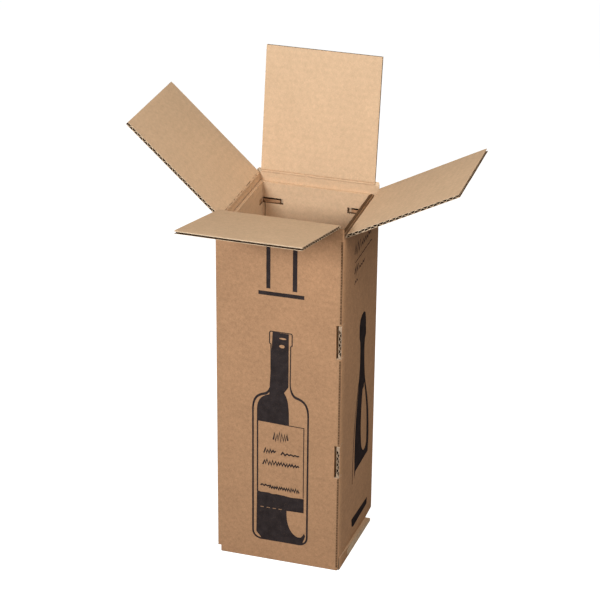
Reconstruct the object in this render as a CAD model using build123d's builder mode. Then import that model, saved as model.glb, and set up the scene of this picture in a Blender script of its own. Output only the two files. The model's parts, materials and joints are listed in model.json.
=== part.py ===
from build123d import *
from math import cos, floor, radians, sin
import os

os.makedirs("parts", exist_ok=True)

# A tall corrugated carton for one bottle, standing open. One folded sheet makes
# the four walls, the closed bottom and the four full top flaps, and a square
# sleeve of the same board stands inside it to hold the bottle off the walls.
# X runs along the front wall, Y runs to the back wall and Z is up. The origin
# is the middle of the bottom. All lengths are in millimetres.

# Corrugated board
board_thickness = 3.0
face_paper = 0.35
medium_paper = 0.3
flute_pitch = 6.35
flute_crest = 0.7
flute_margin = 1.2
raw_edge_depth = 6.0

# Carton walls
outer_width = 120.0
outer_depth = 122.0
fold_radius = 1.8
glue_flap_width = 30.0
glue_flap_bottom = 20.0
glue_flap_top = 332.0

# Top creases: each flap folds over the one before it, so each crease is higher
right_crease_height = 345.4
layer_clearance = 0.2
left_headroom = 1.2
back_headroom = 0.6
front_headroom = 0.1
crease_clearance = 0.2

# Top flaps, with the angle that each stands open, from upright and outwards
right_flap_length = 116.0
left_flap_length = 116.8
back_flap_length = 118.4
front_flap_length = 113.9
right_flap_inset = 5.1
left_flap_inset = 5.1
back_flap_inset = 4.3
front_flap_inset = 3.2
right_flap_angle = 62.1
left_flap_angle = 47.2
back_flap_angle = 8.0
front_flap_angle = 77.0

# Tabs that stay straight where the front right corner folds
corner_tab_height = 32.5
corner_tab_bottoms = (102.8, 227.4)
corner_slot_width = 2.2
corner_slit_width = 0.8
corner_slit_length = 9.0

# Closed bottom: the front flap lies outermost, then the back flap and the sides
front_bottom_length = 96.0
back_bottom_length = 77.0
side_bottom_length = 45.0
right_wall_lift = 13.0
left_wall_lift = 7.5
lip_front_reach = 0.9
lip_back_reach = 5.0
wing_lap = 1.4

# Liner sleeve
liner_left_gap = 1.0
liner_right_gap = 2.6
liner_back_gap = 0.3
liner_front_gap = 3.3
liner_top = 342.0

# Die-cut ears at the liner's corners
ear_slot_length = 20.7
ear_slot_side_length = 10.0
ear_slot_height = 7.6
ear_slot_drop = 13.6
ear_recess = 1.0
ear_end_gap = 3.6
ear_top_gap = 1.1
ear_slit_width = 0.8
ear_slit_offset = 2.4
ear_slit_length = 36.0

# Cutting tools run past the faces that they cut by this much
overrun = 1.0

# Derived sizes
inner_width = outer_width - 2 * board_thickness
inner_depth = outer_depth - 2 * board_thickness
half_width = outer_width / 2
half_depth = outer_depth / 2
crease_step = board_thickness + layer_clearance
left_crease_height = right_crease_height + crease_step + left_headroom
back_crease_height = left_crease_height + crease_step + back_headroom
front_crease_height = back_crease_height + crease_step + front_headroom
joint_radius = board_thickness / 2
lip_end = board_thickness + front_bottom_length - half_depth
liner_bottom = 3 * board_thickness
liner_height = liner_top - liner_bottom
liner_width = inner_width - liner_left_gap - liner_right_gap
liner_depth = inner_depth - liner_front_gap - liner_back_gap
liner_x = (liner_left_gap - liner_right_gap) / 2
liner_y = (liner_front_gap - liner_back_gap) / 2

up = Vector(0, 0, 1)


def flute_channels(start, end):
    """The corners of each hollow between the papers, along one cut edge of board.

    x runs along the edge and y from the outer to the inner face.
    """
    room = end - start - 2 * flute_margin - flute_pitch / 2
    lower = face_paper
    upper = board_thickness - face_paper
    depth = upper - lower - medium_paper
    channels = []
    for flute in range(floor(room / flute_pitch)):
        first = start + flute_margin + flute * flute_pitch
        for shift, base, apex in (
            (0, lower, lower + depth),
            (flute_pitch / 2, upper, upper - depth),
        ):
            channels.append((
                (first + shift + flute_crest / 2, base),
                (first + shift + flute_pitch - flute_crest / 2, base),
                (first + shift + flute_pitch / 2, apex),
            ))
    return channels


def open_flutes(edge_foot, inwards, into_board, start, end):
    """Open the flutes in a wall's upright raw edge, between two heights.

    edge_foot is where the edge's outer corner meets the floor, inwards runs from
    the outer to the inner face and into_board runs along the flutes.
    """
    edge_face = Plane(
        origin=edge_foot - into_board * overrun,
        x_dir=up,
        z_dir=up.cross(inwards),
    )
    with BuildSketch(edge_face) as openings:
        for corners in flute_channels(start, end):
            with BuildLine() as channel:
                Polyline(*corners, close=True)
            make_face(channel.edges())
    reach = edge_face.z_dir.dot(into_board) * (raw_edge_depth + overrun)
    extrude(openings.sketch, amount=reach, mode=Mode.SUBTRACT)


def across_wall(outward, half_size, height=0):
    """The plane across a wall: x runs inwards from its outer face and y runs up."""
    origin = outward * half_size + up * height
    return Plane(origin=origin, x_dir=-outward, z_dir=up.cross(outward))


def mitre_wall_top(outward, half_size, crease_height, run):
    """Cut one wall down to its crease, at 45 degrees towards the inside."""
    edge = crease_height - crease_clearance
    inside = board_thickness + overrun
    ceiling = front_crease_height + 2 * overrun
    with BuildSketch(across_wall(outward, half_size)) as cut:
        with BuildLine():
            Polyline(
                (-overrun, edge + overrun),
                (inside, edge - inside),
                (inside, ceiling),
                (-overrun, ceiling),
                close=True,
            )
        make_face()
    extrude(cut.sketch, amount=run / 2, both=True, mode=Mode.SUBTRACT)


def lift_side_wall(side, lift):
    """Cut a side wall's bottom edge, which slopes from its front end to the back."""
    front = board_thickness - half_depth
    wall_face = Plane.YZ.offset(side * inner_width / 2)
    with BuildSketch(wall_face) as cut:
        with BuildLine():
            Polyline(
                (front, -overrun),
                (front, lift),
                (lip_end, board_thickness),
                (half_depth + overrun, board_thickness),
                (half_depth + overrun, -overrun),
                close=True,
            )
        make_face()
    extrude(
        cut.sketch,
        amount=side * (board_thickness + overrun),
        mode=Mode.SUBTRACT,
    )


def bottom_wing(side, root, front_height, end_height, front_reach, end_reach):
    """The front bottom flap's wing: upright at the front corner, flat at its end."""
    front_plane = Plane.XZ.offset(half_depth - board_thickness)
    end_plane = Plane.XZ.offset(-lip_end)
    front_width = board_thickness + front_reach
    end_width = board_thickness + end_reach
    with BuildSketch(front_plane) as front_section:
        with Locations((side * (root + front_width / 2), front_height / 2)):
            Rectangle(front_width, front_height)
    with BuildSketch(end_plane) as end_section:
        with Locations((side * (root + end_width / 2), end_height / 2)):
            Rectangle(end_width, end_height)
    loft((front_section.sketch, end_section.sketch))


with BuildPart() as carton_body:
    # Four walls, with the manufacturer's joint at the front left corner
    with BuildSketch() as walls_plan:
        Rectangle(outer_width, outer_depth)
        folded_corners = walls_plan.vertices().filter_by(
            lambda corner: corner.X > 0 or corner.Y > 0
        )
        fillet(folded_corners, fold_radius)
        Rectangle(inner_width, inner_depth, mode=Mode.SUBTRACT)
    extrude(amount=front_crease_height)

    # The left wall folds into the glue flap behind the front wall's raw end
    with BuildSketch():
        joint_corner = (-half_width, board_thickness - half_depth)
        with Locations(joint_corner):
            Rectangle(joint_radius, joint_radius, align=(Align.MIN, Align.MIN))
        with Locations((joint_corner[0] + joint_radius, joint_corner[1] + joint_radius)):
            Circle(joint_radius, mode=Mode.SUBTRACT)
    extrude(amount=front_crease_height, mode=Mode.SUBTRACT)
    with BuildSketch(Plane.XY.offset(glue_flap_bottom)):
        with Locations((-inner_width / 2, -inner_depth / 2)):
            Rectangle(glue_flap_width, board_thickness, align=(Align.MIN, Align.MIN))
    extrude(amount=glue_flap_top - glue_flap_bottom)

    # Wall tops: the front and back walls keep the corners, the sides end lower
    mitre_wall_top(Vector(1, 0, 0), half_width, right_crease_height, inner_depth)
    mitre_wall_top(Vector(-1, 0, 0), half_width, left_crease_height, inner_depth)
    mitre_wall_top(Vector(0, 1, 0), half_depth, back_crease_height, outer_width + overrun)
    mitre_wall_top(Vector(0, -1, 0), half_depth, front_crease_height, outer_width + overrun)

    # Tabs at the front right corner: the front wall is slotted beside each, and
    # slits free the tab from the fold, so that it stays in the right wall's plane
    front_wall_y = (board_thickness - outer_depth) / 2
    for tab_bottom in corner_tab_bottoms:
        tab_center = tab_bottom + corner_tab_height / 2
        with Locations((half_width - board_thickness / 2, front_wall_y, tab_center)):
            Box(board_thickness, board_thickness, corner_tab_height)
        slot_x = (inner_width - corner_slot_width) / 2
        with Locations((slot_x, front_wall_y, tab_center)):
            Box(
                corner_slot_width,
                board_thickness + 2 * overrun,
                corner_tab_height + 2 * corner_slit_width,
                mode=Mode.SUBTRACT,
            )
        slit_shift = (corner_tab_height + corner_slit_width) / 2
        for slit_z in (tab_center - slit_shift, tab_center + slit_shift):
            with Locations((half_width, (corner_slit_length - outer_depth) / 2, slit_z)):
                Box(
                    2 * board_thickness,
                    corner_slit_length,
                    corner_slit_width,
                    mode=Mode.SUBTRACT,
                )

    # The flutes show in the tabs' raw edges and in the front wall's raw left end
    for tab_bottom in corner_tab_bottoms:
        open_flutes(
            Vector(half_width, -half_depth, 0),
            Vector(-1, 0, 0),
            Vector(0, 1, 0),
            tab_bottom,
            tab_bottom + corner_tab_height,
        )
    open_flutes(
        Vector(-half_width, -half_depth, 0),
        Vector(0, 1, 0),
        Vector(1, 0, 0),
        left_wall_lift,
        front_crease_height - crease_clearance - board_thickness,
    )

    # Bottom edges of the walls
    lift_side_wall(1, right_wall_lift)
    lift_side_wall(-1, left_wall_lift)
    with Locations((0, half_depth, board_thickness / 2)):
        Box(outer_width + overrun, 2 * board_thickness, board_thickness, mode=Mode.SUBTRACT)
    with Locations((-half_width, -half_depth, 0)):
        Box(
            2 * board_thickness,
            2 * board_thickness,
            2 * left_wall_lift,
            mode=Mode.SUBTRACT,
        )

    # Bottom flaps, folded in and pressed together
    with Locations((0, board_thickness - half_depth, 0)):
        Box(
            inner_width,
            front_bottom_length,
            board_thickness,
            align=(Align.CENTER, Align.MIN, Align.MIN),
        )
    with Locations((0, half_depth - board_thickness, board_thickness)):
        Box(
            inner_width,
            back_bottom_length,
            board_thickness,
            align=(Align.CENTER, Align.MAX, Align.MIN),
        )
    for side in (-1, 1):
        flap_x = side * (inner_width - side_bottom_length) / 2
        with Locations((flap_x, 0, 2 * board_thickness)):
            Box(
                side_bottom_length,
                inner_depth,
                board_thickness,
                align=(Align.CENTER, Align.CENTER, Align.MIN),
            )
    bottom_wing(
        1,
        inner_width / 2,
        right_wall_lift,
        board_thickness,
        lip_front_reach,
        lip_back_reach,
    )
    bottom_wing(
        -1,
        inner_width / 2 - board_thickness,
        left_wall_lift + wing_lap,
        board_thickness + wing_lap,
        0,
        0,
    )

    # The front wall's fold into its bottom flap is rounded
    front_fold = (
        carton_body.edges()
        .filter_by(Axis.X)
        .filter_by(lambda edge: edge.center().Z < board_thickness / 2)
        .sort_by(Axis.Y)[0]
    )
    fillet(front_fold, fold_radius)

carton_body.part.label = "carton_body"
export_step(carton_body.part, "parts/carton_body.step")


with BuildPart() as bottle_liner:
    liner_base = Plane(origin=(liner_x, liner_y, liner_bottom))
    with BuildSketch(liner_base) as sleeve_plan:
        Rectangle(liner_width, liner_depth)
        fillet(sleeve_plan.vertices(), fold_radius)
        Rectangle(
            liner_width - 2 * board_thickness,
            liner_depth - 2 * board_thickness,
            mode=Mode.SUBTRACT,
        )
    extrude(amount=liner_height)

    # Each corner has an ear: a board strip pressed back in its slot, with an
    # open gap above it and at its free end, and a slit that runs down below it
    corner_x = liner_width / 2 - board_thickness
    corner_y = liner_depth / 2 - board_thickness
    slot_top = liner_top - ear_slot_drop
    slot_center_z = slot_top - ear_slot_height / 2
    for side_x in (-1, 1):
        for side_y in (-1, 1):
            corner = Vector(
                liner_x + side_x * corner_x,
                liner_y + side_y * corner_y,
                0,
            )
            inwards_x = Vector(-side_x, 0, 0)
            inwards_y = Vector(0, -side_y, 0)
            pocket = corner + inwards_x * ear_slot_length / 2 + up * slot_center_z
            with Locations(pocket):
                Box(ear_slot_length, 2 * ear_recess, ear_slot_height, mode=Mode.SUBTRACT)
            side_pocket = corner + inwards_y * ear_slot_side_length / 2 + up * slot_center_z
            with Locations(side_pocket):
                Box(
                    2 * ear_recess,
                    ear_slot_side_length,
                    ear_slot_height,
                    mode=Mode.SUBTRACT,
                )
            wall_middle = corner - inwards_y * board_thickness / 2
            top_gap = (
                wall_middle
                + inwards_x * ear_slot_length / 2
                + up * (slot_top - ear_top_gap / 2)
            )
            with Locations(top_gap):
                Box(
                    ear_slot_length,
                    board_thickness + 2 * overrun,
                    ear_top_gap,
                    mode=Mode.SUBTRACT,
                )
            end_center = wall_middle + inwards_x * (ear_slot_length - ear_end_gap / 2)
            end_plane = Plane(
                origin=end_center + up * slot_center_z,
                x_dir=inwards_x,
                z_dir=Vector(0, side_y, 0),
            )
            with BuildSketch(end_plane):
                RectangleRounded(
                    ear_end_gap,
                    ear_slot_height,
                    ear_end_gap / 2 - face_paper,
                )
            extrude(
                amount=board_thickness / 2 + overrun,
                both=True,
                mode=Mode.SUBTRACT,
            )
            slit = (
                wall_middle
                + inwards_x * ear_slit_offset
                + up * (slot_top - ear_slot_height - ear_slit_length / 2)
            )
            with Locations(slit):
                Box(
                    ear_slit_width,
                    board_thickness + 2 * overrun,
                    ear_slit_length,
                    mode=Mode.SUBTRACT,
                )

bottle_liner.part.label = "bottle_liner"
export_step(bottle_liner.part, "parts/bottle_liner.step")


def flap_section(length):
    """A flap's side edge: two flat papers with the wavy medium between them.

    The root is cut at 45 degrees, so that the flap can fold in over its wall.
    x runs from the crease to the free end and y from the outer to the inner face.
    """
    root = crease_clearance + board_thickness
    with BuildLine() as outline:
        Polyline(
            (crease_clearance, 0),
            (length, 0),
            (length, board_thickness),
            (root, board_thickness),
            close=True,
        )
    make_face(outline.edges())
    for corners in flute_channels(root, length):
        with BuildLine() as channel:
            Polyline(*corners, close=True)
        make_face(channel.edges(), mode=Mode.SUBTRACT)


# Each flap hinges on the outer line of its crease
flaps = {
    "right_flap": (
        Vector(1, 0, 0), half_width, right_crease_height,
        right_flap_length, right_flap_angle, outer_depth - 2 * right_flap_inset,
    ),
    "left_flap": (
        Vector(-1, 0, 0), half_width, left_crease_height,
        left_flap_length, left_flap_angle, outer_depth - 2 * left_flap_inset,
    ),
    "back_flap": (
        Vector(0, 1, 0), half_depth, back_crease_height,
        back_flap_length, back_flap_angle, outer_width - 2 * back_flap_inset,
    ),
    "front_flap": (
        Vector(0, -1, 0), half_depth, front_crease_height,
        front_flap_length, front_flap_angle, outer_width - 2 * front_flap_inset,
    ),
}

for name, (outward, half_size, height, length, angle, flap_width) in flaps.items():
    hinge = outward * half_size + up * height
    along = up * cos(radians(angle)) + outward * sin(radians(angle))
    side_edge = Plane(origin=hinge, x_dir=along, z_dir=outward.cross(up))
    with BuildPart() as flap:
        with BuildSketch(side_edge):
            flap_section(length)
        extrude(amount=flap_width / 2, both=True)
    flap.part.label = name
    export_step(flap.part, f"parts/{name}.step")
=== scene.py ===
import json
import math
import random

import bmesh
import bpy
from mathutils import Matrix, Vector, geometry, noise


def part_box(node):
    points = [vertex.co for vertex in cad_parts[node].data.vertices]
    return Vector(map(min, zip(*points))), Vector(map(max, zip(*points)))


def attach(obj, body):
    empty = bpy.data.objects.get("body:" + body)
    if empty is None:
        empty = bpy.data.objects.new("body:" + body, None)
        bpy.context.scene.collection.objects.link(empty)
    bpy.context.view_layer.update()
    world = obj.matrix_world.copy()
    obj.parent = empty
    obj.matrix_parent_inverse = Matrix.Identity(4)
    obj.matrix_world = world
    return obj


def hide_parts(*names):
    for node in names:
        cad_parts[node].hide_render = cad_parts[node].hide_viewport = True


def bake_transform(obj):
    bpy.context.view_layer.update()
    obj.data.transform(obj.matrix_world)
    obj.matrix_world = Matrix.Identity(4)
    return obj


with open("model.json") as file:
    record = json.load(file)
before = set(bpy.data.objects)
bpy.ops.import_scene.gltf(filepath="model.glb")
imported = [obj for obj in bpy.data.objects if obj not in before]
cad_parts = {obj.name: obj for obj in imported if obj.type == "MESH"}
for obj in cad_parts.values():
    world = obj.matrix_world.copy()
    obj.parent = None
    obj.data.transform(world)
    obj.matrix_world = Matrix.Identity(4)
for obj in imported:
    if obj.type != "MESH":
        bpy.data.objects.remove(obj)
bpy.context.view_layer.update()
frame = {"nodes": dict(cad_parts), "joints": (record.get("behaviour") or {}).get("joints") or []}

# A tall corrugated carton for one bottle, standing open with its four flaps out.
# Lengths are in metres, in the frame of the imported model: X runs along the front
# wall, Y to the back wall and Z up. The sizes of the walls, the liner and the
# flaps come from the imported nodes. Only the print is drawn in millimetres.
MM = 0.001
UP = Vector((0, 0, 1))

# Board: its thickness, flute pitch and crease gap are those of the imported model.
# The papers and the wavy medium between them are given here.
BOARD = 3.0 * MM
PAPER = 0.34 * MM
MEDIUM = 0.42 * MM
FLUTE_PITCH = 6.35 * MM
MITRE_GAP = 0.2 * MM

# At the front right corner, cut faces less tall than this get the raw papers
TAB_REACH = 34.0 * MM

# Slots of the liner's ears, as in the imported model
EAR_SLOT_DROP = 13.6 * MM
EAR_SLOT_HEIGHT = 7.6 * MM
EAR_TOP_GAP = 1.1 * MM

body_low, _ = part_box("carton_body")
liner_low, liner_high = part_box("bottle_liner")
HALF_WIDTH = -body_low.x
HALF_DEPTH = -body_low.y


# Colours
def srgb(red, green, blue):
    """A linear colour from sRGB levels of 0 to 255, by the standard sRGB curve."""
    linear = []
    for level in (red, green, blue):
        share = level / 255
        if share <= 0.04045:
            linear.append(share / 12.92)
        else:
            linear.append(((share + 0.055) / 1.055) ** 2.4)
    return (*linear, 1.0)


def darker(colour, share):
    """The colour with its channels multiplied by a share."""
    return tuple(share * channel for channel in colour[:3]) + (1.0,)


OUTER_KRAFT = srgb(176, 134, 99)
INNER_KRAFT = srgb(209, 176, 141)
CUT_KRAFT = srgb(212, 184, 152)
# Flute medium darkened as painted shade, for open flutes, slots, cuts and gaps that lie in shadow
FLUTE_SHADE_KRAFT = srgb(96, 70, 47)
SCORED_KRAFT = srgb(140, 106, 77)
TORN_KRAFT = srgb(176, 150, 124)
INK = srgb(50, 43, 42)


# Materials
# Most of a noise texture's values lie between these two
NOISE_LOW, NOISE_HIGH = 0.3, 0.7

# Noise features per metre along the flutes and across them
FIBRE_STRETCH = (500, 2100, 1)
CROSS_FIBRE_STRETCH = (1700, 420, 1)
FLECK_STRETCH = (900, 2600, 1)


def new_material(name):
    """A new material, its node tree and its Principled shader."""
    material = bpy.data.materials.new(name)
    material.use_nodes = True
    tree = material.node_tree
    shader = tree.nodes["Principled BSDF"]
    return material, tree, shader


def link(tree, source, target):
    tree.links.new(source, target)


def object_point(tree):
    """The surface point in the piece's own coordinates."""
    coordinates = tree.nodes.new("ShaderNodeTexCoord")
    return coordinates.outputs["Object"]


def board_point(tree, stretch=(1, 1, 1)):
    """The point in the mesh's board coordinates, stretched along their axes."""
    coordinates = tree.nodes.new("ShaderNodeUVMap")
    coordinates.uv_map = "board"
    mapping = tree.nodes.new("ShaderNodeMapping")
    mapping.inputs["Scale"].default_value = stretch
    link(tree, coordinates.outputs["UV"], mapping.inputs["Vector"])
    return mapping.outputs["Vector"]


def noise_value(tree, point, scale, detail, roughness, distortion=0.0):
    """A cloudy noise, mostly between NOISE_LOW and NOISE_HIGH."""
    texture = tree.nodes.new("ShaderNodeTexNoise")
    texture.inputs["Scale"].default_value = scale
    texture.inputs["Detail"].default_value = detail
    texture.inputs["Roughness"].default_value = roughness
    texture.inputs["Distortion"].default_value = distortion
    link(tree, point, texture.inputs["Vector"])
    return texture.outputs["Fac"]


def value_range(tree, value, low, high, to_low, to_high):
    """The value moved from one range to another and held inside it."""
    node = tree.nodes.new("ShaderNodeMapRange")
    node.inputs["From Min"].default_value = low
    node.inputs["From Max"].default_value = high
    node.inputs["To Min"].default_value = to_low
    node.inputs["To Max"].default_value = to_high
    link(tree, value, node.inputs["Value"])
    return node.outputs["Result"]


def maths(tree, operation, first, second):
    """The result of one operation on two values, each a number or a socket."""
    node = tree.nodes.new("ShaderNodeMath")
    node.operation = operation
    for socket, value in zip(node.inputs, (first, second)):
        if isinstance(value, (int, float)):
            socket.default_value = value
        else:
            link(tree, value, socket)
    return node.outputs["Value"]


def shade_by(tree, value, share):
    """A factor about 1 that rises and falls by a share with a noise value."""
    return value_range(tree, value, NOISE_LOW, NOISE_HIGH, 1 - share, 1 + share)


def scale_colour(tree, colour, factor):
    """The colour multiplied by a grey factor."""
    node = tree.nodes.new("ShaderNodeVectorMath")
    node.operation = "SCALE"
    node.inputs[0].default_value = colour[:3]
    link(tree, factor, node.inputs["Scale"])
    return node.outputs["Vector"]


def mix_colour(tree, first, second, factor):
    """A mix from a socket's colour to a fixed one, by a factor."""
    node = tree.nodes.new("ShaderNodeMix")
    node.data_type = "RGBA"
    link(tree, first, node.inputs[6])
    node.inputs[7].default_value = second
    link(tree, factor, node.inputs["Factor"])
    return node.outputs[2]


def add_bump(tree, shader, height, strength, distance):
    """Small relief in the shading only, from a height value."""
    bump = tree.nodes.new("ShaderNodeBump")
    bump.inputs["Strength"].default_value = strength
    bump.inputs["Distance"].default_value = distance
    link(tree, height, bump.inputs["Height"])
    link(tree, bump.outputs["Normal"], shader.inputs["Normal"])


def flute_wave(tree):
    """1 over each flute's crest and 0 between, for the washboard ridges: their bump, and faint lines
    of painted shade in the colour.
    """
    split = tree.nodes.new("ShaderNodeSeparateXYZ")
    link(tree, board_point(tree), split.inputs["Vector"])
    phase = maths(tree, "MULTIPLY", split.outputs["Y"], 2 * math.pi / FLUTE_PITCH)
    wave = maths(tree, "COSINE", phase, 0.0)
    return value_range(tree, wave, -1.0, 1.0, 0.0, 1.0)


def painted_fold_highlight(tree, highlight):
    """Painted highlight on the right wall beside its front fold, where the rounded fold faces the
    light, fading over some millimetres.
    """
    skin_low, skin_high = HALF_WIDTH - 0.6 * MM, HALF_WIDTH - 0.2 * MM
    highlight_width = 16 * MM
    fading_power = 1.8
    split = tree.nodes.new("ShaderNodeSeparateXYZ")
    link(tree, object_point(tree), split.inputs["Vector"])
    on_wall = value_range(tree, split.outputs["X"], skin_low, skin_high, 0.0, 1.0)
    fading = value_range(
        tree, split.outputs["Y"], -HALF_DEPTH, highlight_width - HALF_DEPTH, 1.0, 0.0
    )
    fading = maths(tree, "POWER", fading, fading_power)
    share = maths(tree, "MULTIPLY", on_wall, fading)
    return value_range(tree, share, 0.0, 1.0, 1.0, 1.0 + highlight)


def kraft(name, colour, washboard_shade, mottle, speck, fold_highlight=0.0):
    """Kraft liner paper over flutes: cloudy pulp, fibres, specks and washboard lines.

    The washboard and mottle shares are shares of the tone, the washboard one for painted shade along
    the flutes' ridges.
    The speck and fold shares are how strong the dark specks and the painted highlight beside the
    fold are."""
    material, tree, shader = new_material(name)
    clouds = noise_value(tree, object_point(tree), 38.0, detail=3.0, roughness=0.55)
    blotches = noise_value(tree, object_point(tree), 260.0, detail=3.0, roughness=0.6)
    fibres = noise_value(
        tree, board_point(tree, FIBRE_STRETCH), 1.0, detail=3.0, roughness=0.65, distortion=0.4
    )
    cross_fibres = noise_value(
        tree, board_point(tree, CROSS_FIBRE_STRETCH), 1.0, detail=2.0, roughness=0.6, distortion=0.5
    )
    flecks = noise_value(tree, board_point(tree, FLECK_STRETCH), 1.0, detail=1.0, roughness=0.5)
    flutes = flute_wave(tree)

    factor = shade_by(tree, clouds, 0.5 * mottle)
    for value, share in ((blotches, 1.1), (fibres, 1.4), (cross_fibres, 1.1)):
        factor = maths(tree, "MULTIPLY", factor, shade_by(tree, value, mottle * share))
    # Painted shade: faint darker and lighter lines along the flutes' ridges
    ridge_shade = value_range(tree, flutes, 0.0, 1.0, 1 - washboard_shade, 1 + washboard_shade)
    factor = maths(tree, "MULTIPLY", factor, ridge_shade)
    # Painted highlight beside the right wall's front fold, where the rounded fold faces the light
    if fold_highlight:
        factor = maths(tree, "MULTIPLY", factor, painted_fold_highlight(tree, fold_highlight))
    tinted = scale_colour(tree, colour, factor)
    fleck_share = value_range(tree, flecks, 0.70, 0.80, 0.0, speck)
    tinted = mix_colour(tree, tinted, darker(colour, 0.45), fleck_share)
    link(tree, tinted, shader.inputs["Base Color"])

    rough = value_range(tree, fibres, NOISE_LOW, NOISE_HIGH, 0.78, 0.95)
    link(tree, rough, shader.inputs["Roughness"])
    shader.inputs["Specular IOR Level"].default_value = 0.05

    height = maths(tree, "MULTIPLY", fibres, 0.25)
    for value, share in ((cross_fibres, 0.2), (flutes, 0.45), (blotches, 0.35)):
        height = maths(tree, "ADD", height, maths(tree, "MULTIPLY", value, share))
    add_bump(tree, shader, height, strength=0.55, distance=0.06 * MM)
    return material


def raw_edge(name, colour):
    """Cut board: torn fibres, uneven in tone."""
    material, tree, shader = new_material(name)
    grain = noise_value(tree, object_point(tree), 1600.0, detail=3.0, roughness=0.7)
    patches = noise_value(tree, object_point(tree), 300.0, detail=2.0, roughness=0.5)
    factor = value_range(tree, grain, 0.25, 0.75, 0.84, 1.12)
    patchy = value_range(tree, patches, NOISE_LOW, NOISE_HIGH, 0.88, 1.08)
    factor = maths(tree, "MULTIPLY", factor, patchy)
    link(tree, scale_colour(tree, colour, factor), shader.inputs["Base Color"])
    shader.inputs["Roughness"].default_value = 0.95
    shader.inputs["Specular IOR Level"].default_value = 0.1
    add_bump(tree, shader, grain, strength=0.6, distance=0.08 * MM)
    return material


def ink(name, colour):
    """Printing ink on kraft: uneven in tone, with small voids that show the paper."""
    material, tree, shader = new_material(name)
    voids = noise_value(tree, object_point(tree), 1500.0, detail=2.0, roughness=0.6)
    clouds = noise_value(tree, object_point(tree), 160.0, detail=2.0, roughness=0.5)
    bare_share = value_range(tree, voids, 0.62, 0.78, 0.0, 0.35)
    cloudy = value_range(tree, clouds, NOISE_LOW, NOISE_HIGH, 0.82, 1.25)
    inked = scale_colour(tree, colour, cloudy)
    tinted = mix_colour(tree, inked, darker(OUTER_KRAFT, 0.55), bare_share)
    link(tree, tinted, shader.inputs["Base Color"])
    shader.inputs["Roughness"].default_value = 0.72
    shader.inputs["Specular IOR Level"].default_value = 0.0
    return material


outer_paper = kraft(
    "outer_kraft", OUTER_KRAFT, washboard_shade=0.010, mottle=0.085, speck=0.55, fold_highlight=0.55
)
inner_paper = kraft("inner_kraft", INNER_KRAFT, washboard_shade=0.011, mottle=0.050, speck=0.40)
cut_paper = raw_edge("cut_board", CUT_KRAFT)
flute_shade_paper = raw_edge("flute_medium_shade", FLUTE_SHADE_KRAFT)
torn_paper = raw_edge("torn_board", TORN_KRAFT)
print_ink = ink("print_ink", INK)
scored_paper = raw_edge("scored_kraft", SCORED_KRAFT)


# Pieces
def add_piece(name, mesh, materials, body):
    """A mesh as a named piece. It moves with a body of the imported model, if one is given."""
    piece = bpy.data.objects.new(name, mesh)
    bpy.context.scene.collection.objects.link(piece)
    for material in materials:
        mesh.materials.append(material)
    if body:
        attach(piece, body)
    return piece


def smooth_step(value, low, high):
    """0 up to low and 1 from high on, with a smooth ramp between them."""
    share = min(1.0, max(0.0, (value - low) / (high - low)))
    return share * share * (3 - 2 * share)


def even_steps(low, high, count):
    """Evenly spaced values from low to high."""
    return [low + (high - low) * step / count for step in range(count + 1)]


def cubic_weights(t):
    """The weights of a cubic curve's four corners at t, from 0 to 1 along it."""
    return ((1 - t) ** 3, 3 * t * (1 - t) ** 2, 3 * t * t * (1 - t), t ** 3)


# Carton and liner: the imported solids, each face given the paper that it shows
# The flute slot shows the flute medium darkened as painted shade
INNER_SLOT, OUTER_SLOT, CUT_SLOT, FLUTE_SHADE_SLOT, TORN_SLOT = 0, 1, 2, 3, 4
BOARD_MATERIALS = [inner_paper, outer_paper, cut_paper, flute_shade_paper, torn_paper]

# The least share of a normal along an axis, for a face that is square to it
SQUARE = 0.99


def copy_node(node, name):
    """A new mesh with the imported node's shape, joined up at its corners."""
    weld = 0.001 * MM
    mesh = frame["nodes"][node].data.copy()
    mesh.name = name
    mesh.materials.clear()
    shape = bmesh.new()
    shape.from_mesh(mesh)
    bmesh.ops.remove_doubles(shape, verts=shape.verts, dist=weld)
    bmesh.ops.recalc_face_normals(shape, faces=shape.faces)
    return mesh, shape


def lay_board_coordinates(shape):
    """Board coordinates on the walls: along the flutes, which lie level, then up."""
    facing = 0.7
    layer = shape.loops.layers.uv.new("board")
    for face in shape.faces:
        normal = face.normal
        for loop in face.loops:
            place = loop.vert.co
            if abs(normal.x) > facing:
                loop[layer].uv = (place.y, place.z)
            elif abs(normal.y) > facing:
                loop[layer].uv = (place.x, place.z)
            elif abs(normal.z) > facing:
                loop[layer].uv = (place.x, place.y)
            else:
                loop[layer].uv = (place.x + place.y, place.z)


def finish_shape(shape, mesh, smooth_angle=35):
    """Write the shape to its mesh, smooth over gentle corners only."""
    limit = math.radians(smooth_angle)
    shape.normal_update()
    for face in shape.faces:
        face.smooth = True
    for edge in shape.edges:
        edge.smooth = len(edge.link_faces) == 2 and edge.calc_face_angle(0) < limit
    shape.to_mesh(mesh)
    shape.free()
    mesh.update()


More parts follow.
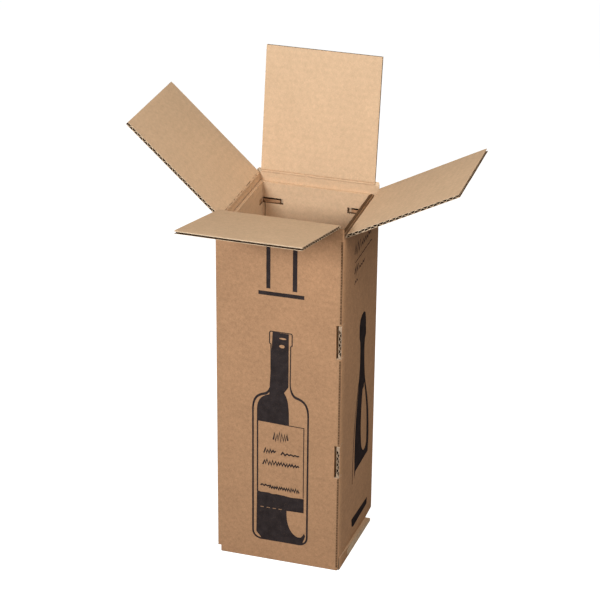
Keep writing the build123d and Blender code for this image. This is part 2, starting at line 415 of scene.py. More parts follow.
def carton_slot(face):
    """The paper that one face of the carton shows."""
    near = 0.3 * MM
    fold_reach = 2 * MM
    bottom_layers = 4 * BOARD
    tab_reach = 1.1 * BOARD
    slot_reach = 3.2 * BOARD
    normal = face.normal
    middle = face.calc_center_median()
    if abs(normal.z) > 0.5:
        if normal.z < 0 and middle.z < near:
            return OUTER_SLOT
        if normal.z > 0 and middle.z < bottom_layers:
            return INNER_SLOT
        return CUT_SLOT
    outwards = normal.x * middle.x + normal.y * middle.y > 0
    flat_x = abs(normal.x) > SQUARE
    flat_y = abs(normal.y) > SQUARE
    if flat_x and abs(abs(middle.x) - (HALF_WIDTH - BOARD)) < near and not outwards:
        return INNER_SLOT
    if flat_y and abs(abs(middle.y) - (HALF_DEPTH - BOARD)) < near and not outwards:
        return INNER_SLOT
    lowest_x = min(vertex.co.x for vertex in face.verts)
    heights = [vertex.co.z for vertex in face.verts]
    tab_tall = max(heights) - min(heights) < TAB_REACH
    raw_front_end = flat_x and middle.x < 0 and middle.y < BOARD - HALF_DEPTH
    raw_tab = flat_y and middle.y < 0 and lowest_x > HALF_WIDTH - tab_reach and tab_tall
    in_front_wall = abs(middle.y + HALF_DEPTH - BOARD / 2) < 0.48 * BOARD
    # Cut faces in the slots by the front right corner take the flute colour: raw medium, darkened as
    # painted shade
    if in_front_wall and lowest_x > HALF_WIDTH - slot_reach and tab_tall and not flat_y:
        return FLUTE_SHADE_SLOT
    if raw_front_end or raw_tab:
        return TORN_SLOT
    near_x_side = abs(abs(middle.x) - HALF_WIDTH) < fold_reach
    near_y_side = abs(abs(middle.y) - HALF_DEPTH) < fold_reach
    if outwards and (near_x_side or near_y_side):
        return OUTER_SLOT
    return CUT_SLOT


def make_carton():
    """The carton's walls and bottom."""
    mesh, shape = copy_node("carton_body", "carton_sheet")
    lay_board_coordinates(shape)
    for face in shape.faces:
        face.material_index = carton_slot(face)
    finish_shape(shape, mesh)
    piece = add_piece("carton_sheet", mesh, BOARD_MATERIALS, "carton")
    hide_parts("carton_body")


def lower_ear_slots(shape, slot_bottom, slot_top):
    """Make the slots of the liner's ears less tall and open them above each ear."""
    near = 0.05 * MM
    slot_loss = 1.9 * MM
    ear_drop = 1.1 * MM
    for vertex in shape.verts:
        height = vertex.co.z
        if slot_bottom - near < height < slot_top + near:
            on_ear_top = abs(height - slot_top + EAR_TOP_GAP) < 0.02 * MM
            share = (height - slot_bottom) / EAR_SLOT_HEIGHT
            vertex.co.z = slot_bottom + (EAR_SLOT_HEIGHT - slot_loss) * share
            if on_ear_top:
                vertex.co.z -= ear_drop


def on_liner_panel(face):
    """Whether the face lies on the inner or the outer side of one of the panels."""
    near = 0.4 * MM
    middle = face.calc_center_median()
    for axis in (0, 1):
        if abs(face.normal[axis]) > SQUARE:
            for plane in (liner_low[axis], liner_high[axis]):
                depth = abs(middle[axis] - plane)
                if depth < near or abs(depth - BOARD) < near:
                    return True
    return False


def liner_slot(face, slot_bottom, slot_top):
    """The paper that one face of the liner shows, with painted shade in the ears' cuts and pockets
    and on the right panel's top edge.
    """
    slit_reach = 45 * MM
    wide_area = 12 * MM * MM
    rim = 0.05 * MM
    normal = face.normal
    heights = [vertex.co.z for vertex in face.verts]
    in_ear = min(heights) > slot_bottom - slit_reach and max(heights) < slot_top - 1 * MM
    # Painted shade in the ears: their pocket floors take the darker outer paper and their cut faces
    # the dark flute colour
    if in_ear and not on_liner_panel(face):
        square = abs(normal.x) > SQUARE or abs(normal.y) > SQUARE
        wide = face.calc_area() > wide_area
        return OUTER_SLOT if square and wide else FLUTE_SHADE_SLOT
    # Painted shade: the right panel's top edge takes the dark flute colour, as it lies in deep shade
    at_right = face.calc_center_median().x > liner_high.x - 1.2 * BOARD
    if normal.z > 0.5 and at_right and max(heights) > liner_high.z - rim:
        return FLUTE_SHADE_SLOT
    return INNER_SLOT


def make_liner():
    """The square sleeve inside the carton, with die-cut ears near its corners."""
    mesh, shape = copy_node("bottle_liner", "liner_sleeve")
    slot_top = liner_high.z - EAR_SLOT_DROP
    slot_bottom = slot_top - EAR_SLOT_HEIGHT
    lower_ear_slots(shape, slot_bottom, slot_top)
    shape.normal_update()
    lay_board_coordinates(shape)
    for face in shape.faces:
        face.material_index = liner_slot(face, slot_bottom, slot_top)
    finish_shape(shape, mesh)
    piece = add_piece("liner_sleeve", mesh, BOARD_MATERIALS, "carton")
    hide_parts("bottle_liner")


# Flaps: two papers with the wavy medium between them
class FlapFrame:
    """Where a flap lies: its crease, its directions and its size, from the model."""

    def __init__(self, joint):
        self.node = joint["child"]
        self.hinge = Vector(joint["pos_m"])
        self.outward = Vector((self.hinge.x, self.hinge.y, 0)).normalized()
        self.angle = math.radians(-joint["range_deg"][0] - 90)
        self.along = UP * math.cos(self.angle) + self.outward * math.sin(self.angle)
        self.inwards = UP * math.sin(self.angle) - self.outward * math.cos(self.angle)
        self.side = UP.cross(self.outward)
        corners = [vertex.co - self.hinge for vertex in frame["nodes"][self.node].data.vertices]
        self.length = max(corner.dot(self.along) for corner in corners)
        self.half_width = max(corner.dot(self.side) for corner in corners)

    def place(self, run, across, rise):
        """The point so far along the flap, across it and above its outer face."""
        return self.hinge + self.along * run + self.side * across + self.inwards * rise


def add_slab(shape, layer, runs, acrosses, bottom, top, place, slots):
    """A closed thin slab over a grid of runs and acrosses.

    bottom and top give the height at a run. slots are for its bottom, its top
    and its edges."""
    grids = []
    for height in (bottom, top):
        grid = [
            [shape.verts.new(place(run, across, height(run))) for across in acrosses]
            for run in runs
        ]
        grids.append(grid)

    def add_face(corners, slot, coordinates):
        face = shape.faces.new(corners)
        face.material_index = slot
        for loop, point in zip(face.loops, coordinates):
            loop[layer].uv = point

    def add_edge(start, end, flip):
        """A face on the slab's edge, between two places of the grid."""
        places = ((0, start), (0, end), (1, end), (1, start))
        corners = [grids[side][i][j] for side, (i, j) in places]
        if flip:
            corners.reverse()
        add_face(corners, slots[2], [(acrosses[start[1]], runs[start[0]])] * 4)

    last_run = len(runs) - 1
    last_across = len(acrosses) - 1
    for i in range(last_run):
        for j in range(last_across):
            cell = [(i, j), (i + 1, j), (i + 1, j + 1), (i, j + 1)]
            points = [(acrosses[b], runs[a]) for a, b in cell]
            add_face([grids[1][a][b] for a, b in cell], slots[1], points)
            cell.reverse()
            points.reverse()
            add_face([grids[0][a][b] for a, b in cell], slots[0], points)
    for i in range(last_run):
        add_edge((i, 0), (i + 1, 0), False)
        add_edge((i, last_across), (i + 1, last_across), True)
    for j in range(last_across):
        add_edge((0, j), (0, j + 1), True)
        add_edge((last_run, j), (last_run, j + 1), False)


def make_flap(flap, bow, twist, lean, seed):
    """One flap in its open place, a little bowed, with flutes open at its sides."""
    run_steps, across_steps, flute_steps = 40, 28, 12
    root = MITRE_GAP + BOARD
    middle = BOARD / 2
    bow_fade = 0.6
    press_length = 1.4 * MM
    press_share = 0.12
    jitter_height = 0.08 * MM
    jitter_fade = 6 * MM
    rag_width = 0.09 * MM
    medium_end_gap = 1.6 * MM

    def place(run, across, rise):
        """The board's place, bowed and twisted, pressed thin at its free end."""
        share = run / flap.length
        spread = across / flap.half_width
        lift = bow * share * share * (1 - bow_fade * spread * spread) + twist * share * spread
        jitter = noise.noise(Vector((run * 40, across * 40, seed))) * jitter_height
        jitter *= smooth_step(run, root, root + jitter_fade)
        pressed = smooth_step(run, flap.length - press_length, flap.length)
        wobble = 0.5 + 0.5 * noise.noise(Vector((across * 55, seed * 3.1, 0.5)))
        squeezed = middle + (rise - middle) * (1 - press_share * pressed * (0.6 + wobble))
        ragged = noise.noise(Vector((run * 900, seed, rise * 4000))) * rag_width
        if abs(spread) > 0.999:
            across += math.copysign(ragged, across)
        return flap.place(run, across + lean * share, squeezed + lift + jitter)

    shape = bmesh.new()
    layer = shape.loops.layers.uv.new("board")
    acrosses = even_steps(-flap.half_width, flap.half_width, across_steps)
    inner_runs = even_steps(root, flap.length, run_steps)
    outer_runs = even_steps(MITRE_GAP, flap.length, run_steps)
    # The medium and the papers' facing sides take the flute colour, darkened as painted shade for
    # the open flutes
    add_slab(
        shape, layer, outer_runs, acrosses,
        lambda run: 0.0, lambda run: PAPER,
        place, (OUTER_SLOT, FLUTE_SHADE_SLOT, CUT_SLOT),
    )
    add_slab(
        shape, layer, inner_runs, acrosses,
        lambda run: BOARD - PAPER, lambda run: BOARD,
        place, (FLUTE_SHADE_SLOT, INNER_SLOT, CUT_SLOT),
    )

    swing = (BOARD - 2 * PAPER - MEDIUM) / 2
    wave_steps = round((flap.length - root) / FLUTE_PITCH * flute_steps)
    flute_runs = even_steps(root, flap.length - medium_end_gap, wave_steps)

    def wave(run):
        return middle + swing * math.cos(2 * math.pi * (run - root) / FLUTE_PITCH)

    def thickness(run):
        """The medium's height, more on its slopes, so that it stays as thick."""
        slope = 2 * math.pi / FLUTE_PITCH * swing
        slope *= math.sin(2 * math.pi * (run - root) / FLUTE_PITCH)
        return MEDIUM * math.sqrt(1 + slope * slope)

    add_slab(
        shape, layer, flute_runs, acrosses[::2],
        lambda run: wave(run) - thickness(run) / 2,
        lambda run: wave(run) + thickness(run) / 2,
        place, (FLUTE_SHADE_SLOT, FLUTE_SHADE_SLOT, CUT_SLOT),
    )
    mesh = bpy.data.meshes.new(flap.node + "_board")
    finish_shape(shape, mesh, smooth_angle=40)
    piece = add_piece(flap.node + "_board", mesh, BOARD_MATERIALS, flap.node)
    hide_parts(flap.node)


# Creases. A crease's section is a list of points from its hinge, seen along the
# fold, which go over it from the wall's inner edge to the flap's.
DIP_START, DIP_END = 3, 7


def crease_ends(flap):
    """The wall's inner edge and the flap's."""
    root = MITRE_GAP + BOARD
    wall_edge = -flap.outward * BOARD - UP * root
    flap_edge = flap.along * root + flap.inwards * BOARD
    return wall_edge, flap_edge


def deep_section(flap):
    """A crease pressed in as a groove between the wall's edge and the flap's."""
    wall_edge, flap_edge = crease_ends(flap)
    wall_side = ((-2.3, -3.0), (-1.4, -2.1), (-0.8, -1.0))
    flap_side = ((0.8, 0.75), (1.8, 1.3), (2.8, 2.2))
    return [
        wall_edge,
        *(flap.outward * out * MM + UP * above * MM for out, above in wall_side),
        *(flap.along * run * MM + flap.inwards * rise * MM for run, rise in flap_side),
        flap_edge,
    ]


def scored_section(flap, depth, drop):
    """A crease that bends sharply, with a narrow dip in the bend.

    depth is the dip's. drop is how far the bend lies below the board's own corner.
    The dip reaches from point DIP_START to point DIP_END."""
    wall_edge, flap_edge = crease_ends(flap)
    bend = -flap.outward * BOARD + UP * (BOARD * math.tan(flap.angle / 2) - drop)
    first_run = (bend - wall_edge).z
    last_run = (flap_edge - bend).length
    out_of_wall = -flap.outward
    toward_flap = (flap_edge - bend).normalized()
    out_of_flap = flap.side.cross(toward_flap)
    if out_of_flap.dot(flap.inwards) < 0:
        out_of_flap.negate()
    into_fold = -(out_of_wall + out_of_flap).normalized()
    return [
        wall_edge,
        wall_edge + UP * first_run * 0.35 + out_of_wall * 0.35 * MM,
        wall_edge + UP * first_run * 0.7 + out_of_wall * 0.45 * MM,
        bend - UP * 0.55 * MM + out_of_wall * 0.3 * MM,
        bend - UP * 0.2 * MM + into_fold * depth * 0.9,
        bend + into_fold * depth,
        bend + toward_flap * 0.25 * MM + into_fold * depth * 0.8,
        bend + toward_flap * 0.7 * MM + out_of_flap * 0.05 * MM,
        bend + toward_flap * last_run * 0.4 + out_of_flap * 0.06 * MM,
        bend + toward_flap * last_run * 0.7 + out_of_flap * 0.03 * MM,
        flap_edge,
    ]


def round_section(flap):
    """A crease bent round in one smooth curve."""
    steps = 14
    wall_edge, flap_edge = crease_ends(flap)
    pull = (flap_edge - wall_edge).length * 0.47
    corners = (wall_edge, wall_edge + UP * pull, flap_edge - flap.along * pull, flap_edge)
    section = []
    for step in range(steps + 1):
        weights = cubic_weights(step / steps)
        parts = (corner * weight for corner, weight in zip(corners, weights))
        section.append(sum(parts, Vector()))
    return section


def crease_section(flap, kind, depth, drop):
    if kind == "deep":
        return deep_section(flap)
    if kind == "scored":
        return scored_section(flap, depth, drop)
    return round_section(flap)


def under_crease(flap, wall_edge, flap_edge):
    """Points that close a section, back under the fold from the flap to the wall."""
    return [
        flap_edge - flap.inwards * BOARD * 0.6 + flap.along * 0.1 * MM,
        flap.along * MITRE_GAP * 1.3 + flap.inwards * 0.12 * MM,
        flap.inwards * 0.22 * MM - flap.outward * 0.1 * MM,
        -UP * MITRE_GAP * 1.3 - flap.outward * 0.12 * MM,
        wall_edge + flap.outward * BOARD * 0.6 - UP * 0.1 * MM,
    ]


def make_crease(flap, kind, depth, drop, dashed):
    """The folded strip between a wall's top and its flap, bent to meet the flap in its open place.
    A dashed one has its dip closed up here and there along the fold. The deep groove and the open
    stretches of a dashed dip take the dark flute colour: painted shade, and for the dashes torn
    paper as well."""
    across_steps = 90
    dent_depth = 0.14 * MM
    section = crease_section(flap, kind, depth, drop)
    last_over = len(section) - 1
    wall_edge, flap_edge = section[0], section[last_over]
    section += under_crease(flap, wall_edge, flap_edge)

    def dash_noise(across):
        return noise.noise(Vector((across * 190, 0.7, flap.angle)))

    def place(across, index):
        """The point on the strip, a little dented, with the dip closed by dashes."""
        point = section[index]
        if 0 < index < last_over:
            dent = noise.noise(Vector((across * 130, index * 0.35, flap.angle))) * dent_depth
            point = point + point.normalized() * dent
        if dashed and DIP_START < index < DIP_END:
            closed = smooth_step(dash_noise(across), -0.12, 0.1)
            share = (index - DIP_START) / (DIP_END - DIP_START)
            point = point.lerp(section[DIP_START].lerp(section[DIP_END], share), closed)
        return flap.hinge + flap.side * across + point

    def paper(across, index):
        """The paper between one point of the section and the next."""
        # Painted shade: the deep groove takes the dark flute colour, and so do the open dashes,
        # which stand for torn paper as well
        if kind == "deep" and 0 < index < last_over - 1:
            return FLUTE_SHADE_SLOT
        if dashed and DIP_START < index < DIP_END - 1 and dash_noise(across) < 0:
            return FLUTE_SHADE_SLOT
        return INNER_SLOT if index < last_over else OUTER_SLOT

    shape = bmesh.new()
    layer = shape.loops.layers.uv.new("board")
    acrosses = even_steps(-flap.half_width, flap.half_width, across_steps)
    count = len(section)
    rows = [
        [shape.verts.new(place(across, index)) for index in range(count)]
        for across in acrosses
    ]
    for j in range(across_steps):
        for i in range(count):
            k = (i + 1) % count
            corners = ((j, i), (j, k), (j + 1, k), (j + 1, i))
            face = shape.faces.new([rows[row][index] for row, index in corners])
            face.material_index = paper(acrosses[j], i)
            for loop, (row, index) in zip(face.loops, corners):
                loop[layer].uv = (acrosses[row], index * 0.6 * MM)
    for end in (rows[0][::-1], rows[-1]):
        face = shape.faces.new(end)
        face.material_index = CUT_SLOT
    bmesh.ops.recalc_face_normals(shape, faces=shape.faces)
    mesh = bpy.data.meshes.new(flap.node + "_crease")
    finish_shape(shape, mesh, smooth_angle=50)
    piece = add_piece(flap.node + "_crease", mesh, BOARD_MATERIALS, None)
    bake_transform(piece)


# Print: flat patches that lie on the walls, in millimetres across and up the wall.
# It stands off the wall by PRINT_RISE, and each patch off the last by PATCH_RISE,
# which is in millimetres.
PRINT_RISE = 0.05 * MM
PATCH_RISE = 0.01


def fill(outline, *holes):
    """A flat patch inside an outline, without its holes, as points and faces."""
    loops = [[Vector((x, y, 0)) for x, y in loop] for loop in (outline, *holes)]
    points = [point for loop in loops for point in loop]
    return points, geometry.tessellate_polygon(loops)


def stroke(path, widths):
    """A pen line along a path, as one ribbon, with one width or one for each point."""
    least_lean = 0.55
    if not isinstance(widths, list):
        widths = [widths] * len(path)
    points = []
    for index, (x, y) in enumerate(path):
        before = Vector(path[max(0, index - 1)])
        after = Vector(path[min(len(path) - 1, index + 1)])
        here = Vector((x, y))
        into = (here - before).normalized() if here != before else (after - here).normalized()
        out = (after - here).normalized() if after != here else into
        normal = Vector((-into.y - out.y, into.x + out.x))
        if normal.length < 0.01:
            normal = Vector((-into.y, into.x))
        normal.normalize()
        lean = max(least_lean, abs(normal.dot(Vector((-into.y, into.x)))))
        reach = normal * widths[index] / 2 / lean
        points += [Vector((x + reach.x, y + reach.y, 0)), Vector((x - reach.x, y - reach.y, 0))]
    faces = [(2 * i, 2 * i + 1, 2 * i + 3, 2 * i + 2) for i in range(len(path) - 1)]
    return points, faces


def print_piece(name, patches, to_wall, material):
    """Patches of one colour on one wall, as one thin piece."""
    points = []
    faces = []
    for order, (patch_points, patch_faces) in enumerate(patches):
        base = len(points)
        points.extend(point + Vector((0, 0, order * PATCH_RISE)) for point in patch_points)
        faces.extend(tuple(base + index for index in face) for face in patch_faces)
    mesh = bpy.data.meshes.new(name)
    mesh.from_pydata([point * MM for point in points], [], faces)
    shape = bmesh.new()
    shape.from_mesh(mesh)
    for face in shape.faces:
        if face.normal.z < 0:
            face.normal_flip()
    shape.to_mesh(mesh)
    shape.free()
    mesh.transform(to_wall)
    add_piece(name, mesh, [material], "carton")


def wall_matrix(across, outward, distance):
    """From wall coordinates to the model's: across the wall, up it and out of it."""
    matrix = Matrix((across, UP, outward)).transposed().to_4x4()
    matrix.translation = outward * (distance + PRINT_RISE)
    return matrix


front_wall = wall_matrix(Vector((1, 0, 0)), Vector((0, -1, 0)), HALF_DEPTH)
right_wall = wall_matrix(Vector((0, 1, 0)), Vector((1, 0, 0)), HALF_WIDTH)


def bar(left, right, bottom, top):
    return [(left, bottom), (right, bottom), (right, top), (left, top)]


def oval(x, y, half_width, half_height):
    sides = 14
    turns = [2 * math.pi * step / sides for step in range(sides)]
    return [(x + half_width * math.cos(t), y + half_height * math.sin(t)) for t in turns]


def curve_points(*corners, steps=12):
    """Points on the cubic curve with these four corners."""
    points = []
    for step in range(steps + 1):
        weights = cubic_weights(step / steps)
        points.append(tuple(sum(w * c[axis] for w, c in zip(weights, corners)) for axis in (0, 1)))
    return points


def scribble(left, right, height, swing, swing_end, strokes, seed):
    """A hand-drawn zigzag that stands for a line of writing."""
    draw = random.Random(seed)
    points = []
    for step in range(strokes + 1):
        share = step / strokes
        side = 1 if step % 2 else -1
        size = (swing + (swing_end - swing) * share) * draw.uniform(0.5, 1.15)
        across = left + (right - left) * share + draw.uniform(-0.3, 0.3)
        points.append((across, height + side * size))
    return points


def moved(points, across, up):
    """The points moved to their place on the wall."""
    return [(x + across, y + up) for x, y in points]


# The wine bottle, in millimetres out from its middle and up from its foot
WINE_BODY = 26.9
WINE_NECK = 10.5
WINE_MOUTH = 222.9
WINE_SHOULDER = 139.0
WINE_LABEL_TOP = 127.5
WINE_LABEL_FOOT = 51.6
WINE_GLASS_LEFT = 3.9 - WINE_BODY


def wine_outline():
    """The outline and its pen widths: the right half up, then the left half down."""
    body, neck, mouth, shoulder = WINE_BODY, WINE_NECK, WINE_MOUTH, WINE_SHOULDER
    collar = mouth - 12.2
    base_corner = 8.5
    half = []
    widths = []

    def go(points, width_start, width_end):
        """Draw on through points, with a pen that changes evenly in width."""
        for index, point in enumerate(points):
            share = index / max(1, len(points) - 1)
            half.append(point)
            widths.append(width_start + (width_end - width_start) * share)

    go([(0, 0), (body - base_corner, 0)], 1.6, 1.7)
    go(curve_points(
        (body - base_corner, 0), (body - 3.5, 0), (body, 3.5), (body, base_corner), steps=8,
    ), 2.0, 1.8)
    go([(body, shoulder)], 1.6, 1.6)
    go(curve_points(
        (body, shoulder), (body, shoulder + 11.5),
        (body - 3.6, shoulder + 16.4), (body - 11.5, shoulder + 18.4),
    ), 1.7, 2.6)
    go(curve_points(
        (body - 12.5, shoulder + 18.8), (neck + 1.2, shoulder + 20.6),
        (neck - 0.6, shoulder + 23.5), (neck - 1.3, shoulder + 31), steps=8,
    ), 2.7, 1.2)
    go([(neck - 1.0, collar - 1), (neck + 0.3, collar), (neck + 0.3, mouth - 1.2)], 1.0, 1.0)
    go([(neck - 0.6, mouth), (0, mouth)], 1.0, 1.0)
    left_half = [(-x, y) for x, y in half[::-1]]
    return half + left_half, widths + widths[::-1]


def wine_upper_glass():
    """Dark glass from the mouth down to the label, then two glints left out of it."""
    mouth, shoulder, left = WINE_MOUTH, WINE_SHOULDER, WINE_GLASS_LEFT
    shoulder_top = 164.5
    neck_left, neck_right = 2.5 - WINE_NECK, WINE_NECK - 2.9
    outline = [
        (neck_left, mouth - 0.4), (neck_right, mouth - 0.8),
        (neck_right, shoulder_top + 3), (3.4, shoulder_top - 3.5),
        *curve_points(
            (4.2, shoulder_top - 5), (7.6, shoulder + 15),
            (8.3, shoulder + 7), (8.4, WINE_LABEL_TOP - 0.6), steps=10,
        ),
        (left, WINE_LABEL_TOP + 0.4),
        *curve_points(
            (left, shoulder + 2), (left + 0.6, shoulder + 14),
            (left + 7, shoulder + 16.6), (neck_left - 3.0, shoulder + 18.4), steps=10,
        ),
    ]
    return outline, oval(1.9, mouth - 6.2, 3.4, 0.9), oval(1.1, mouth - 14.2, 2.6, 1.7)


def wine_lower_glass():
    """Dark glass under the label, rough at its top, then four dashes left out of it."""
    rough_steps = 12
    left, right = WINE_GLASS_LEFT, WINE_BODY - 3.4
    label = WINE_LABEL_FOOT
    window = 6.7
    draw = random.Random(17)
    outline = [(left, label + 1.0)]
    for step in range(1, rough_steps):
        x = left + (right - left) * step / rough_steps
        outline.append((x, label - 1.2 * step / rough_steps + draw.uniform(-0.5, 0.6)))
    outline += [(right, label - 0.8), (right, label - 16.2), (window - 0.2, label - 16.6)]
    outline += curve_points(
        (window + 0.1, label - 25), (window + 1.2, 16), (window + 5.5, 9.6), (window + 11.0, 7.6),
    )
    outline += [
        (window + 13.8, 7.8), (window + 16.2, 10.5), (right + 0.6, 13.0), (right + 1.8, 10.0),
        (right - 1.0, 1.6), (16.0, 0.4), (-18.0, 0.4), (left - 0.6, 7.0),
    ]
    dashes = [
        bar(start, start + 3.4, label - 16.5, label - 15.9)
        for start in (left + 3.5, left + 9.6, left + 15.6, left + 21.4)
    ]
    return outline, *dashes


def wine_label():
    """Paths with pen widths: the label's edges, then six lines of scribbled writing."""
    top, foot, half = WINE_LABEL_TOP, WINE_LABEL_FOOT, 22.9
    paths = [
        ([(0.5 - half, top + 0.5), (0.5 - half, foot)], 1.4),
        ([(8.0, top - 0.3), (half, top - 0.6), (half, foot)], 0.8),
    ]
    # Left and right ends, height, swing at each end, strokes, seed and pen width
    lines = (
        (-6.9, 7.6, 113.6, 5.4, 3.6, 12, 3, 1.6),
        (-16.2, -4.6, 97.2, 2.9, 1.2, 9, 5, 1.4),
        (0.8, 18.6, 96.2, 1.9, 0.3, 9, 7, 1.4),
        (-17.0, 18.8, 84.8, 3.4, 1.1, 26, 9, 1.4),
        (-19.4, -10.6, 59.6, 0.7, 0.7, 5, 10, 1.4),
        (-10.6, 18.8, 58.4, 1.5, 1.9, 26, 11, 1.4),
    )
    return paths + [(scribble(*line), pen) for *line, pen in lines]


def wine_bottle(centre, bottom):
    """A plain wine bottle: its outline, dark glass and label."""
    outline, widths = wine_outline()
    glass = [
        fill(*(moved(loop, centre, bottom) for loop in loops))
        for loops in (wine_upper_glass(), wine_lower_glass())
    ]
    label = [stroke(moved(path, centre, bottom), pen) for path, pen in wine_label()]
    return [stroke(moved(outline, centre, bottom), widths), *glass, *label]


def sparkling_bottle(centre, bottom):
    """A plain sparkling-wine bottle with a foil top and a long sloping shoulder."""
    left, right = -27.6, 27.6
    foil = [
        (-6.2, 222.8), (-11.1, 219.9), (-13.8, 213.9), (-13.2, 202.1), (-10.3, 195.5),
        (-9.2, 185.5), (-9.2, 171.7), (-10.9, 162.0), (-12.6, 152.6),
        (-9.0, 142.0), (-1.0, 140.0), (6.0, 141.0),
        (9.4, 150.2), (6.0, 169.6), (5.4, 185.8), (6.8, 192.7), (9.8, 196.4),
        (8.5, 212.8), (6.2, 220.2), (1.0, 223.4),
    ]
    left_path = curve_points(
        (-11.8, 154), (-17.5, 136), (left + 0.4, 118), (left - 0.2, 64), steps=14,
    )
    left_path.append((left - 0.4, 52))
    left_widths = [1.5 + 1.4 * max(0, 1 - index / 5) for index in range(len(left_path))]
    dark_side = curve_points(
        (-10.8, 152), (-16.0, 134), (left + 3.2, 114), (left + 6.4, 62), steps=10,
    )
    dark_side += [(left + 6.0, 54.5), (left + 10.0, 61.2), (right - 1.2, 60.2), (right + 0.4, 74)]
    dark_side += curve_points((right - 8.0, 73), (right - 12, 67.4), (6.0, 66.4), (1.0, 82), steps=8)
    dark_side += curve_points((-0.6, 92), (-3.0, 112), (-0.4, 128), (2.4, 141), steps=8)
    right_steps = 12
    right_path = curve_points(
        (7.4, 152), (12.0, 134), (24.6, 120), (right - 3.6, 72), steps=right_steps,
    )
    right_widths = [3.0 + 5.2 * (step / right_steps) ** 1.3 for step in range(right_steps + 1)]
    base_band = [
        (left - 0.4, 12.6), (right + 0.6, 6.6), (right - 0.6, -0.2),
        (right - 6.0, -0.4), (left + 6.0, 1.4), (left + 1.0, 4.0),
    ]
    return [
        fill(moved(foil, centre, bottom)),
        stroke(moved(left_path, centre, bottom), left_widths),
        fill(moved(dark_side, centre, bottom)),
        stroke(moved(right_path, centre, bottom), right_widths),
        fill(moved(base_band, centre, bottom)),
    ]


def side_notes():
    """Rows of short strokes for the fine print high on the right wall."""
    first_seed = 40
    # Left and right ends, height, swing, strokes and pen width
    rows = (
        (-22.5, -4.0, 320.0, 6.0, 5, 1.7),
        (-1.0, 33.0, 316.5, 2.6, 12, 1.2),
        (-20.0, 36.5, 306.2, 0.3, 12, 1.0),
        (-22.0, -10.0, 298.0, 5.0, 5, 1.6),
        (-7.5, 12.0, 295.5, 1.4, 7, 1.1),
        (-21.0, -11.0, 286.0, 2.0, 4, 1.2),
    )
    return [
        stroke(scribble(left, right, height, swing, swing, strokes, first_seed + index), pen)
        for index, (left, right, height, swing, strokes, pen) in enumerate(rows)
    ]


def upright_arrows():
    """Two arrows that point up, over a bar that is printed a little out of level."""
    shaft_bottom, head_bottom, arrow_top = 288.6, 333.5, 352.5
    head_half = 9.5
    arrows = []
    for left, right in ((-11.8, -7.9), (13.2, 17.5)):
        middle = (left + right) / 2
        arrows.append(fill([
            (left, shaft_bottom),
            (right, shaft_bottom),
            (right, head_bottom),
            (middle + head_half, head_bottom),
            (middle, arrow_top),
            (middle - head_half, head_bottom),
            (left, head_bottom),
        ]))
    arrows.append(fill([(-19.3, 281.6), (24.3, 281.9), (24.3, 285.8), (-19.3, 285.5)]))
    return arrows


def make_print():
    """The arrows and one plain bottle on the front wall, a bottle and notes on the right."""
    wine = wine_bottle(centre=2.3, bottom=22.8)
    sparkling = sparkling_bottle(centre=13.6, bottom=17.8)
    print_piece("print_arrows", upright_arrows(), front_wall, print_ink)
    print_piece("print_wine_bottle", wine, front_wall, print_ink)
    print_piece("print_sparkling_bottle", sparkling, right_wall, print_ink)
    print_piece("print_side_notes", side_notes(), right_wall, print_ink)


def make_corner_cuts():
    """The scored line beside the front right fold, with its row of short cuts drawn as flat patches
    of painted shade.
    """
    draw = random.Random(23)
    middle = HALF_WIDTH / MM - 1.1
    score_bottom, score_top = 4.0, 344.0
    score_half, cut_half = 1.0, 0.5
    cut_rise = 0.08 * MM
    tabs = ((100.4, 136.7), (225.4, 262.0))
    lines = []
    bottom = score_bottom
    for top, next_bottom in (*tabs, (score_top, score_top)):
        lines.append(fill(bar(middle - score_half, middle + score_half, bottom, top)))
        bottom = next_bottom
    cuts = []
    height, cuts_top = 5.0, 342.0
    while height < cuts_top:
        reach = draw.uniform(1.3, 2.0)
        if not any(low < height < high for low, high in tabs):
            sway = draw.uniform(-0.15, 0.15)
            left, right = middle + sway - cut_half, middle + sway + cut_half
            cuts.append(fill(bar(left, right, height, height + reach)))
        height += draw.uniform(2.5, 3.1)
    print_piece("corner_score", lines, front_wall, scored_paper)
    lifted = Matrix.Translation(Vector((0, -cut_rise, 0))) @ front_wall
    # The cuts are flat patches in the dark flute colour: painted shade in the slits
    print_piece("corner_cut_shade", cuts, lifted, flute_shade_paper)


# Studio
def seen_rays(tree):
    """1 for camera, glossy and transmission rays, and 0 for rays that light the scene."""
    rays = tree.nodes.new("ShaderNodeLightPath")
    seen = maths(tree, "ADD", rays.outputs["Is Camera Ray"], rays.outputs["Is Glossy Ray"])
    seen = maths(tree, "ADD", seen, rays.outputs["Is Transmission Ray"])
    return maths(tree, "MINIMUM", seen, 1.0)


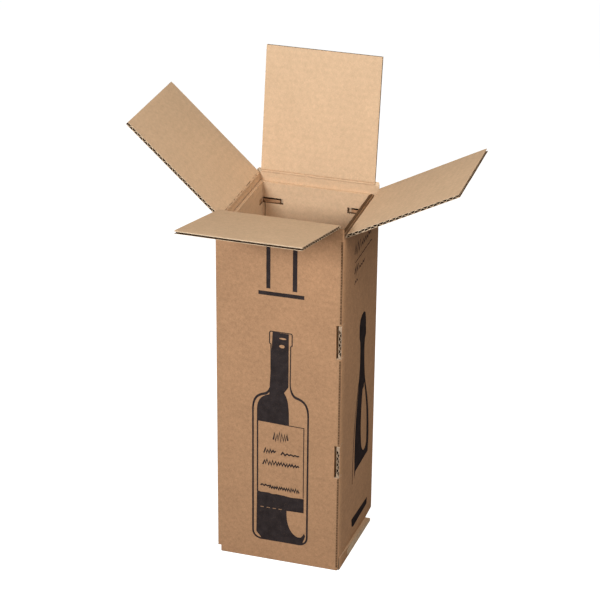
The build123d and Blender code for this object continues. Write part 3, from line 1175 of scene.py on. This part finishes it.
def make_floor():
    """A wide pale floor that reads as white to the camera."""
    half = 6.0
    grey = 0.62
    glow_strength = 0.92
    mesh = bpy.data.meshes.new("floor")
    corners = [(-half, -half, 0), (half, -half, 0), (half, half, 0), (-half, half, 0)]
    mesh.from_pydata(corners, [], [(0, 1, 2, 3)])
    floor = bpy.data.objects.new("floor", mesh)
    bpy.context.scene.collection.objects.link(floor)
    material = bpy.data.materials.new("floor_paper")
    material.use_nodes = True
    tree = material.node_tree
    tree.nodes.clear()
    output = tree.nodes.new("ShaderNodeOutputMaterial")
    diffuse = tree.nodes.new("ShaderNodeBsdfDiffuse")
    diffuse.inputs["Color"].default_value = (grey, grey, grey, 1)
    glow = tree.nodes.new("ShaderNodeEmission")
    glow.inputs["Color"].default_value = (1, 1, 1, 1)
    strength = maths(tree, "MULTIPLY", seen_rays(tree), glow_strength)
    link(tree, strength, glow.inputs["Strength"])
    both = tree.nodes.new("ShaderNodeAddShader")
    link(tree, diffuse.outputs["BSDF"], both.inputs[0])
    link(tree, glow.outputs["Emission"], both.inputs[1])
    link(tree, both.outputs["Shader"], output.inputs["Surface"])
    mesh.materials.append(material)


def make_world():
    """A white backdrop that gives the object only a little even light."""
    fill_strength, backdrop_strength = 0.08, 1.0
    world = bpy.data.worlds.new("studio")
    bpy.context.scene.world = world
    world.use_nodes = True
    tree = world.node_tree
    tree.nodes.clear()
    output = tree.nodes.new("ShaderNodeOutputWorld")
    even = tree.nodes.new("ShaderNodeBackground")
    even.inputs["Color"].default_value = (1, 1, 1, 1)
    strength = value_range(tree, seen_rays(tree), 0.0, 1.0, fill_strength, backdrop_strength)
    link(tree, strength, even.inputs["Strength"])
    link(tree, even.outputs["Background"], output.inputs["Surface"])


def make_lamp(name, place, target, size, power, colour):
    """A square soft lamp, aimed at a target."""
    light = bpy.data.lights.new(name, "AREA")
    light.shape = "SQUARE"
    light.size = size
    light.energy = power
    light.color = colour
    holder = bpy.data.objects.new(name, light)
    bpy.context.scene.collection.objects.link(holder)
    holder.location = place
    aim = Vector(target) - Vector(place)
    holder.rotation_mode = "QUATERNION"
    holder.rotation_quaternion = aim.to_track_quat("-Z", "Y")


def make_lamps():
    """A key lamp at the front left, and weaker ones at the right, above and low."""
    # Place, target, size, power and colour
    make_lamp("key_lamp", (-0.241, -0.901, 0.71), (0, 0, 0.34), 0.2, 8.4, (0.945, 0.997, 1.062))
    make_lamp("side_lamp", (0.6, -0.35, 0.95), (0, 0, 0.3), 0.4, 4.1, (1.028, 1.0, 0.973))
    make_lamp("over_lamp", (0.1, -0.1, 1.3), (0, 0, 0.35), 0.8, 1.95, (1.027, 1.004, 0.97))
    make_lamp("low_lamp", (0.0, -1.1, 0.3), (0, 0, 0.3), 0.5, 0.3, (0.995, 0.999, 1.005))


def make_camera():
    """The photograph's viewpoint, found from the carton's edges."""
    place = Vector((0.53415, -1.7504, 1.12838))
    yaw = math.radians(16.9212)
    pitch = math.radians(25.6261)
    roll = math.radians(0.5506)
    sensor = 36.0
    focal_pixels = 2169.26
    frame_pixels = 600
    forward = Vector((
        -math.sin(yaw) * math.cos(pitch),
        math.cos(yaw) * math.cos(pitch),
        -math.sin(pitch),
    ))
    level = Vector((math.cos(yaw), math.sin(yaw), 0))
    above = level.cross(forward)
    right = level * math.cos(roll) + above * math.sin(roll)
    above = above * math.cos(roll) - level * math.sin(roll)
    data = bpy.data.cameras.new("camera")
    data.sensor_width = sensor
    data.lens = focal_pixels * sensor / frame_pixels
    data.clip_end = 50
    camera = bpy.data.objects.new("camera", data)
    bpy.context.scene.collection.objects.link(camera)
    turn = Matrix((right, above, -forward)).transposed()
    camera.matrix_world = Matrix.Translation(place) @ turn.to_4x4()
    bpy.context.scene.camera = camera


# Each flap's bow, twist and lean, and the seed of its small unevenness
FLAP_SHAPES = {
    "right_flap": (-0.25 * MM, 0.4 * MM, -1.4 * MM, 1.0),
    "left_flap": (-0.3 * MM, -0.2 * MM, 0.2 * MM, 2.0),
    "back_flap": (0.1 * MM, -0.1 * MM, 0.0 * MM, 3.0),
    "front_flap": (-0.4 * MM, 0.0 * MM, -1.6 * MM, 4.0),
}

# Each crease's kind, its dip's depth, its bend's drop and whether it is dashed
CREASE_SHAPES = {
    "right_flap": ("deep", 0.0, 0.0, False),
    "left_flap": ("scored", 1.3 * MM, 0.3 * MM, True),
    "back_flap": ("scored", 1.15 * MM, 1.1 * MM, False),
    "front_flap": ("round", 0.0, 0.0, False),
}

make_carton()
make_liner()
for joint in frame["joints"]:
    flap = FlapFrame(joint)
    make_flap(flap, *FLAP_SHAPES[flap.node])
    make_crease(flap, *CREASE_SHAPES[flap.node])
make_print()
make_corner_cuts()
make_floor()
make_world()
make_lamps()
make_camera()

bpy.context.scene.view_settings.view_transform = "Standard"
